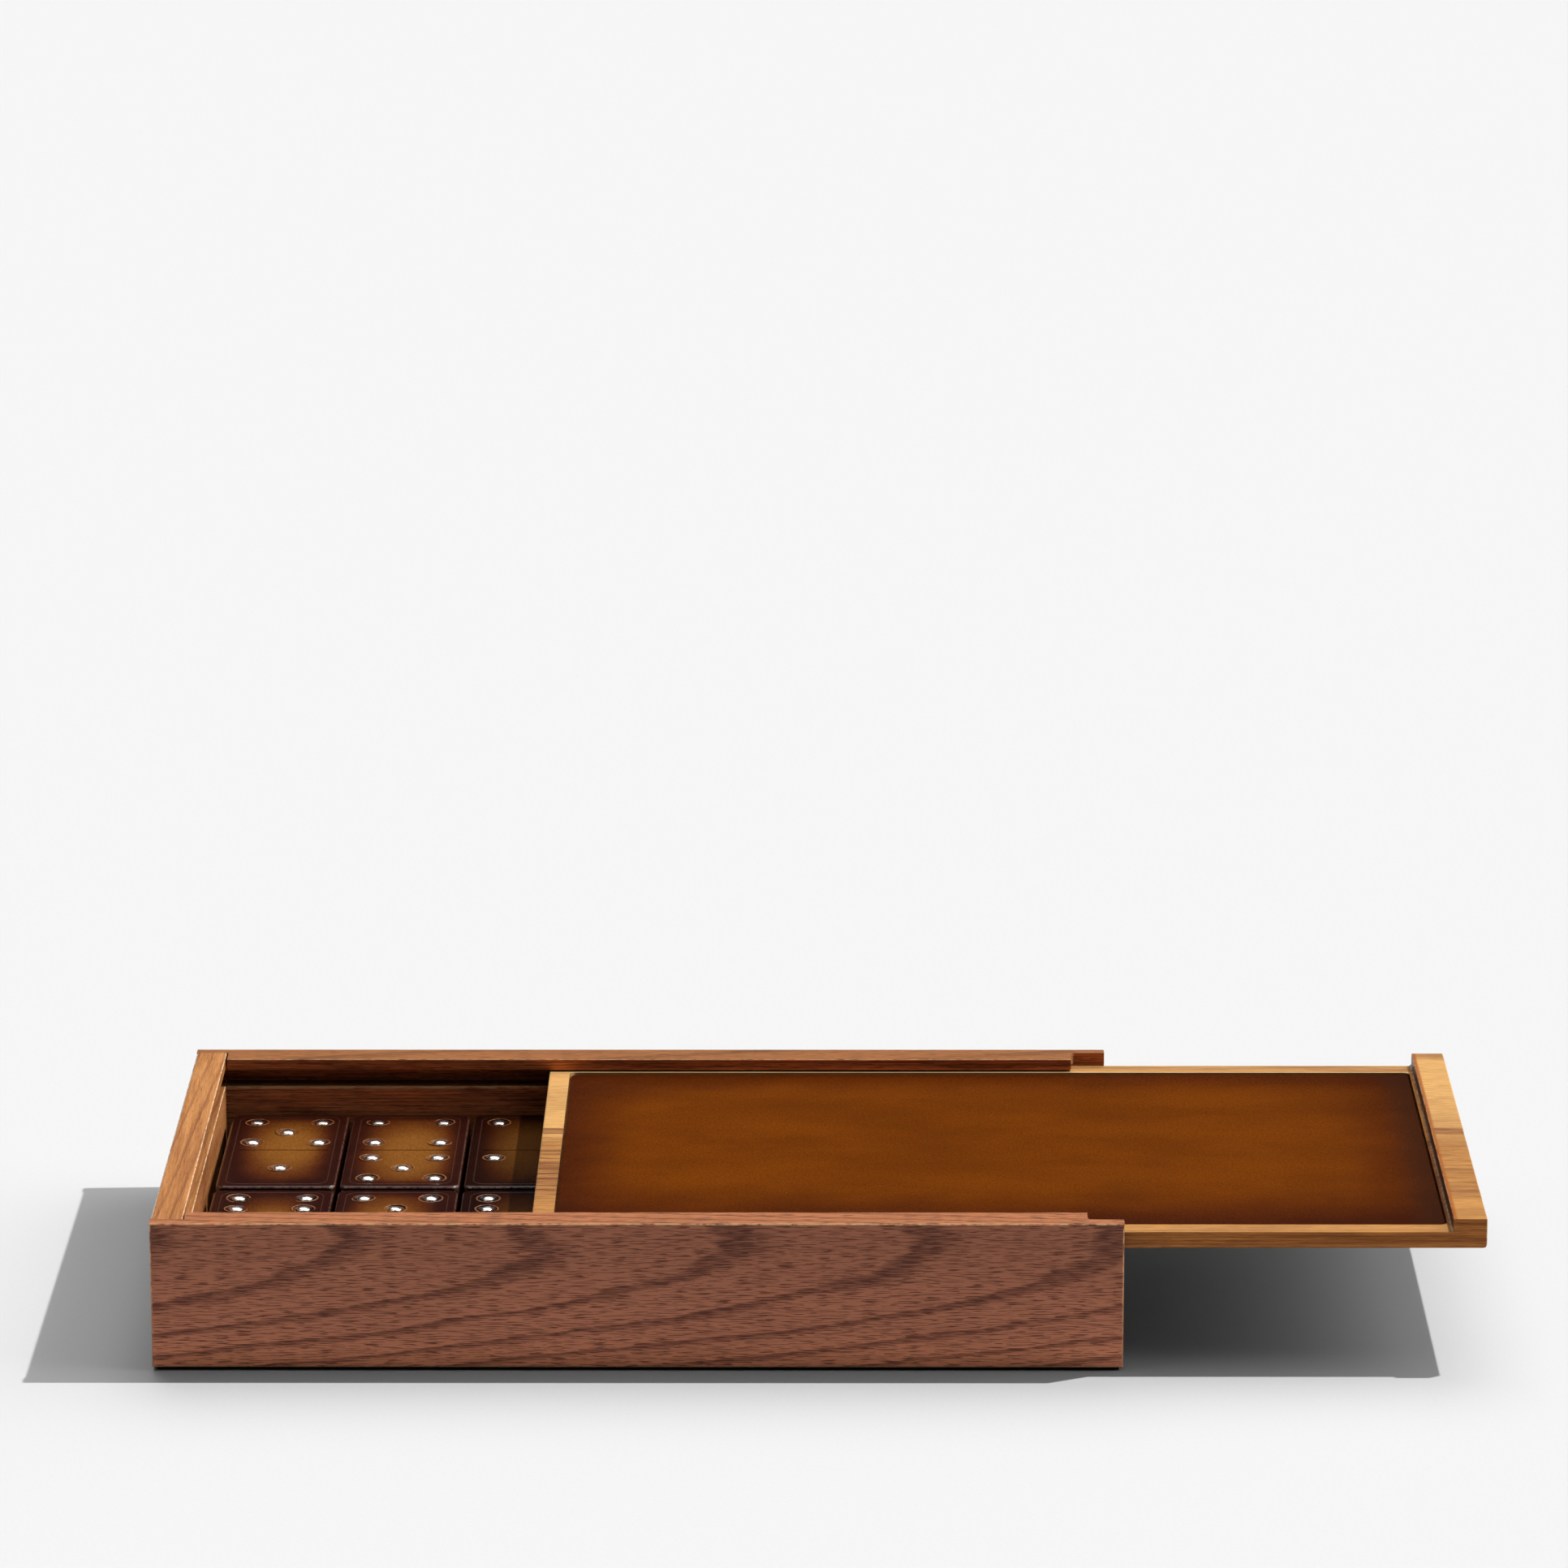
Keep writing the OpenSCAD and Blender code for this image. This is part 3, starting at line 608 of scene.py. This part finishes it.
ring_leather, tree, shader = finish("ring_leather")
place = in_millimetres(tree)
rub = noise(tree, place, 1.8, 3)
feed(tree, shader, Roughness=0.4, Specular_IOR_Level=0.35, Normal=bumped(tree, rub, 0.02),
     Base_Color=mixed(tree, fade(tree, rub, 0.35, 0.65), (0.08, 0.024, 0.006, 1), (0.32, 0.115, 0.024, 1)))

body_of = {n: b for b, members in frame["record"]["behaviour"]["bodies"].items() for n in members}
standing = {}
for tile, counts in counts_of_the_set().items():
    standing.setdefault(body_of[tile], []).extend(pip_points(tile, counts))
for seed, (body, points) in enumerate(standing.items()):
    pins = grown(f"pins_{body}", pin_tree, points, nickel, seed)
    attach(pins, body)
    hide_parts(*[n for n, b in body_of.items() if b == body and n.startswith("studs_")])
    rings = grown(f"rings_{body}", ring_tree, points, ring_leather, seed + 50)
    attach(rings, body)


# The lid. One board of pale walnut sapwood with brown streaks of heartwood, its pull bar left
# standing at the right end, so that the same streaks run over both.
low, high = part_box("lid_board")
SAP = ((0.500, 0.195, 0.046), (0.300, 0.100, 0.024), (0.180, 0.050, 0.014))
riser = (high.x - 0.0068) * 1000
recess_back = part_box("lid_leather")[1].y * 1000
leather_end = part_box("lid_leather")[1].x * 1000


def heartwood_streaks(tree, place, facing, colour):
    """Two brown streaks and a streaky stretch, painted light on the strip at the bar's foot, painted shade on the bar's
    left face, a scorch along its inner arris, and a bright cream line along the back edge of the recess.
    """
    axes = node(tree, "ShaderNodeSeparateXYZ", {0: place}).outputs
    sway = noise(tree, place, 1, 2, 0.5, (25, 4, 9))
    straight = calc(tree, "MULTIPLY_ADD", calc(tree, "SUBTRACT", sway, 0.5), 3.0, axes["Y"])
    # the middle streak and the stretch in front of it run a little askew
    across = calc(tree, "MULTIPLY_ADD", calc(tree, "SUBTRACT", axes["X"], riser), 0.045, straight)
    behind = calc(tree, "ABSOLUTE", calc(tree, "SUBTRACT", straight, 54.2))
    middle = calc(tree, "ABSOLUTE", calc(tree, "SUBTRACT", across, 2.0))
    brown = calc(tree, "MAXIMUM", fade(tree, behind, 1.7, 2.9, 0.40, 0), fade(tree, middle, 1.6, 2.7, 0.75, 0))
    zone = calc(tree, "MULTIPLY", fade(tree, across, -1, -24, 0.30, 1), fade(tree, across, -46, -40, 0.35, 1))
    zone = calc(tree, "MULTIPLY", zone, fade(tree, across, 1, -2))
    zone = calc(tree, "MULTIPLY", zone, fade(tree, axes["X"], riser - 120, riser - 20, 1.15, 0.62))
    broad = fade(tree, noise(tree, place, 1, 3, 0.6, (26, 2.4, 3.0)), 0.35, 0.65)
    brown = calc(tree, "MAXIMUM", brown, calc(tree, "MULTIPLY", zone, calc(tree, "MULTIPLY_ADD", broad, 0.70, 0.20)))
    lines = fade(tree, noise(tree, place, 1, 3, 0.6, (26, 1.2, 2.5)), 0.47, 0.60)
    deeper = mixed(tree, fade(tree, across, 2, -8), (1, 1, 1, 1), (0.82, 0.71, 0.58, 1))
    colour = mixed(tree, 1.0, colour, deeper, "MULTIPLY")
    colour = mixed(tree, brown, colour, (0.31, 0.118, 0.034, 1))
    dark = calc(tree, "MULTIPLY", lines, calc(tree, "MULTIPLY_ADD", calc(tree, "MAXIMUM", brown, zone), 0.62, 0.10))
    colour = mixed(tree, dark, colour, (0.150, 0.045, 0.016, 1))
    way = node(tree, "ShaderNodeSeparateXYZ", {0: facing}).outputs
    long_lines = fade(tree, noise(tree, place, 1, 3, 0.6, (38, 1.0, 0.32)), 0.40, 0.64)
    front = mixed(tree, long_lines, (1.45, 1.50, 1.32, 1), (0.85, 0.78, 0.62, 1))
    front = mixed(tree, fade(tree, way["Y"], -0.5, -0.9), (1, 1, 1, 1), front)
    colour = mixed(tree, 1.0, colour, front, "MULTIPLY")
    # painted light: the strip of wood between the leather and the bar lies in the bar's shade, and is tinted warm
    # orange as if lit
    foot = calc(tree, "MULTIPLY", fade(tree, axes["X"], leather_end - 0.2, leather_end + 0.2), fade(tree, axes["X"], riser + 0.2, riser - 0.2))
    foot = calc(tree, "MULTIPLY", foot, calc(tree, "MULTIPLY", fade(tree, way["Z"], 0.3, 0.7), fade(tree, calc(tree, "ABSOLUTE", axes["Y"]), recess_back, recess_back + 0.3, 1, 0)))
    foot_tone = mixed(tree, fade(tree, axes["Y"], 12, -30), (1.25, 0.82, 0.42, 1), (0.75, 0.42, 0.20, 1))
    colour = mixed(tree, 1.0, colour, mixed(tree, foot, (1, 1, 1, 1), foot_tone), "MULTIPLY")
    # painted shade: the face of the bar that turns left, away from the lamp, is darkened
    rising = calc(tree, "MULTIPLY", fade(tree, way["X"], -0.2, -0.7), fade(tree, axes["X"], riser - 3, riser - 2))
    colour = mixed(tree, calc(tree, "MULTIPLY", rising, 0.75), colour, (0.10, 0.030, 0.012, 1))
    inner = calc(tree, "ABSOLUTE", calc(tree, "SUBTRACT", axes["X"], riser + 0.25))
    scorch = calc(tree, "MULTIPLY", fade(tree, inner, 0.25, 0.75, 0.9, 0), fade(tree, axes["Z"], rim - 0.6, rim - 0.4))
    colour = mixed(tree, scorch, colour, (0.42, 0.11, 0.015, 1))
    edge = calc(tree, "MULTIPLY", fade(tree, axes["Y"], recess_back - 0.15, recess_back + 0.05), fade(tree, axes["Y"], recess_back + 0.35, recess_back + 0.7, 1, 0))
    edge = calc(tree, "MULTIPLY", edge, fade(tree, axes["X"], riser, riser - 0.5, 0, 0.9))
    return mixed(tree, edge, colour, (0.90, 0.58, 0.27, 1))


# top paints the light on the lid's upper faces, much lighter than its sides
lid_wood = boarded("walnut_lid", (0, 0, 0), (30, 0, 0), SAP,
                   {"Band Gap": 120.0, "Sweep": 0.04, "Ring Slope": 30.0, "Pore Depth": 0.30, "Band Depth": 0.35},
                   (0.95, 0.64, 0.30), wear=0.8, top=(1.57, 2.20, 3.10), marks=heartwood_streaks)
dress(lid_wood, "lid_board")


# The leather on the lid. A smooth panel let into the wood, glued down, its edge pared thin, dyed
# darker towards its edges by hand and waxed.
low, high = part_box("lid_leather")
pared = 0.0005
mesh = bmesh.new()


def inlay_outline(inset, level, steps=6, radius=0.0013):
    """A ring of vertices round the panel, inset from its edge."""
    ring = []
    r = max(radius - inset, 0.0001)
    for cx, cy, start in ((high.x, high.y, 0), (low.x, high.y, 90), (low.x, low.y, 180), (high.x, low.y, 270)):
        mid_x = cx + (-1 if cx == high.x else 1) * (inset + r)
        mid_y = cy + (-1 if cy == high.y else 1) * (inset + r)
        for i in range(steps + 1):
            a = math.radians(start + 90 * i / steps)
            ring.append(mesh.verts.new((mid_x + r * math.cos(a), mid_y + r * math.sin(a), level)))
    return ring


rings = [inlay_outline(0, low.z), inlay_outline(0, high.z - pared)]
for i in range(1, 7):
    a = math.radians(15 * i)
    rings.append(inlay_outline(pared * (1 - math.cos(a)), high.z - pared * (1 - math.sin(a))))
for lower, upper in zip(rings, rings[1:]):
    for i in range(len(lower)):
        j = (i + 1) % len(lower)
        mesh.faces.new((lower[i], lower[j], upper[j], upper[i]))
mesh.faces.new(rings[-1])
mesh.faces.new(list(reversed(rings[0])))
bmesh.ops.recalc_face_normals(mesh, faces=mesh.faces)
shape = bpy.data.meshes.new("lid_panel")
mesh.to_mesh(shape)
mesh.free()
panel = bpy.data.objects.new("lid_panel", shape)
scene.collection.objects.link(panel)

panel_leather, tree, shader = finish("lid_panel_leather")
place = in_millimetres(tree)
axes = node(tree, "ShaderNodeSeparateXYZ", {0: place}).outputs
from_left = calc(tree, "SUBTRACT", axes["X"], low.x * 1000)
from_right = calc(tree, "SUBTRACT", high.x * 1000, axes["X"])
from_front = calc(tree, "SUBTRACT", axes["Y"], low.y * 1000)
from_back = calc(tree, "SUBTRACT", high.y * 1000, axes["Y"])
cloud = noise(tree, place, 0.05, 2)
reach = calc(tree, "MULTIPLY_ADD", cloud, 14, 13)
depth = calc(tree, "MULTIPLY", fade(tree, from_left, -2, calc(tree, "MULTIPLY", reach, 1.1), 0.15, 1), fade(tree, from_right, 0, calc(tree, "MULTIPLY", reach, 1.3), 0.25, 1))
depth = calc(tree, "MULTIPLY", depth, fade(tree, from_front, -1, calc(tree, "MULTIPLY", reach, 1.5), 0.04, 1))
depth = calc(tree, "MULTIPLY", depth, fade(tree, from_back, -2, reach, 0.2, 1))
skin = use(tree, leather_skin, {
    "Place": place, "Depth": depth, "Heart": (0.165, 0.0375, 0.0012, 1), "Middle": (0.100, 0.0195, 0.0010, 1),
    "Rim": (0.055, 0.0095, 0.0020, 1), "Mottle": 0.14, "Grain": 0.35})
cloudy = fade(tree, noise(tree, place, 1, 3, 0.55, (34, 17, 9)), 0.30, 0.70)
colour = mixed(tree, 1.0, skin["Color"], mixed(tree, cloudy, (0.86, 0.84, 0.90, 1), (1.12, 1.14, 1.08, 1)), "MULTIPLY")
# the last few millimetres by the bar are darker
end_dark = fade(tree, from_right, 1.5, 9.0, 0.55, 0.0)
colour = mixed(tree, end_dark, colour, (0.036, 0.0135, 0.006, 1))
colour = mixed(tree, use(tree, dust, {"Place": place, "Spacing": 6.0})["Dust"], colour, (0.4, 0.28, 0.16, 1))
feed(tree, shader, Base_Color=colour, Roughness=skin["Roughness"], Specular_IOR_Level=0.05,
     Normal=bumped(tree, skin["Height"], 0.02))
panel.data.materials.append(panel_leather)
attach(panel, "lid")
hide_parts("lid_leather")
